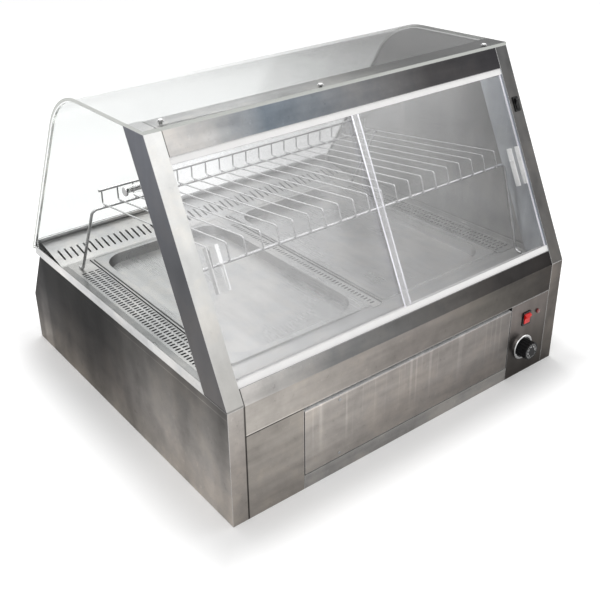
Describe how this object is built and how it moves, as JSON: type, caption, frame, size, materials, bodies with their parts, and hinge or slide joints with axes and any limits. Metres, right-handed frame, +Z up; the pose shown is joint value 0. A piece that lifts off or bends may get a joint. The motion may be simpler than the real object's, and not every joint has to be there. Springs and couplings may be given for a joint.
{
  "type": "heated display case",
  "caption": "Counter-top heated display case with curved customer glass, sliding service doors, wire rack, lift-out pans, drawer and thermostat panel.",
  "frame": {"origin": "centre of the base's footprint, on the surface that the case stands on", "axes": "+X from left to right as seen from the service side, +Y from the service side to the customer side, +Z up"},
  "size_m": [0.8668, 0.8228, 0.662],
  "materials": {
    "stainless": "brushed, smudged with use",
    "bright_wire": "bright plated wire",
    "chrome": "polished",
    "clear_glass": "clear, green at the edges",
    "clear_acrylic": "clear, slightly hazy",
    "white_plastic": "satin",
    "black_plastic": "satin",
    "red_plastic": "glossy, translucent look",
    "gasket_rubber": "matt",
    "element_steel": "heat-darkened",
    "zinc_steel": "plain plated",
    "copper": "drawn",
    "lamp_glass": "white glass tube"
  },
  "bodies": {
    "case": {"cable_gland": "black_plastic", "capillary_tube": "copper", "control_panel": "stainless", "curved_glass": "clear_glass", "customer_panel": "stainless", "deck_plate": "stainless", "element_clips": "zinc_steel", "floor_pan": "stainless", "front_fascia": "stainless", "glass_rest_rail": "stainless", "glass_screws": "chrome", "heat_shield": "stainless", "lamp_sockets": "white_plastic", "lamp_switch_body": "black_plastic", "lamp_tube": "lamp_glass", "left_drawer_runner": "stainless", "left_element": "element_steel", "left_end_glass": "clear_glass", "left_front_panel": "stainless", "left_post": "stainless", "left_side_panel": "stainless", "left_side_rail": "stainless", "left_strip": "stainless", "lower_track": "white_plastic", "main_switch_body": "black_plastic", "middle_strip": "stainless", "pilot_lamp": "red_plastic", "plinth_rail": "stainless", "rest_gasket": "gasket_rubber", "right_drawer_runner": "stainless", "right_element": "element_steel", "right_end_wall": "stainless", "right_post": "stainless", "right_side_panel": "stainless", "right_side_rail": "stainless", "right_strip": "stainless", "side_stud": "chrome", "stud_sleeve": "clear_acrylic", "terminal_block": "white_plastic", "thermostat_bezel": "chrome", "thermostat_body": "black_plastic", "top_rail": "stainless", "upper_track": "white_plastic"},
    "left_door": {"left_door": "clear_acrylic", "left_door_handle": "clear_acrylic"},
    "right_door": {"right_door": "clear_acrylic", "right_door_handle": "clear_acrylic"},
    "drawer": {"drawer_front": "stainless", "drawer_tray": "stainless", "drawer_rivets": "zinc_steel"},
    "thermostat_knob": {"thermostat_knob": "black_plastic", "thermostat_shaft": "zinc_steel"},
    "main_rocker": {"main_rocker": "red_plastic"},
    "lamp_rocker": {"lamp_rocker": "black_plastic"},
    "rack": {"rack_grid": "bright_wire", "rack_front_frame": "bright_wire", "rack_rear_frame": "bright_wire"},
    "left_pan": {"left_pan": "stainless"},
    "right_pan": {"right_pan": "stainless"}
  },
  "joints": [
    {"name": "left_door_slide", "type": "slide", "parent": "case", "child": "left_door", "axis": [1, 0, 0], "range_m": [0, 0.342]},
    {"name": "right_door_slide", "type": "slide", "parent": "case", "child": "right_door", "axis": [1, 0, 0], "range_m": [-0.342, 0]},
    {"name": "drawer_slide", "type": "slide", "parent": "case", "child": "drawer", "axis": [0, -1, 0], "range_m": [0, 0.42]},
    {"name": "thermostat_turn", "type": "hinge", "parent": "case", "child": "thermostat_knob", "pos_m": [0.321, -0.3985, 0.0665], "axis": [0, 1, 0], "range_deg": [0, 300]},
    {"name": "main_rocker_tilt", "type": "hinge", "parent": "case", "child": "main_rocker", "pos_m": [0.325, -0.3975, 0.134], "axis": [-1, 0, 0], "range_deg": [0, 24]},
    {"name": "lamp_rocker_tilt", "type": "hinge", "parent": "case", "child": "lamp_rocker", "pos_m": [0.409, -0.25325, 0.5422], "axis": [-1, 0, 0], "range_deg": [0, 24]},
    {"name": "rack_lift", "type": "slide", "parent": "case", "child": "rack", "axis": [0, 0, 1], "range_m": [0, 0.03]},
    {"name": "left_pan_lift", "type": "slide", "parent": "case", "child": "left_pan", "axis": [0, 0, 1], "range_m": [0, 0.1]},
    {"name": "right_pan_lift", "type": "slide", "parent": "case", "child": "right_pan", "axis": [0, 0, 1], "range_m": [0, 0.1]}
  ]
}
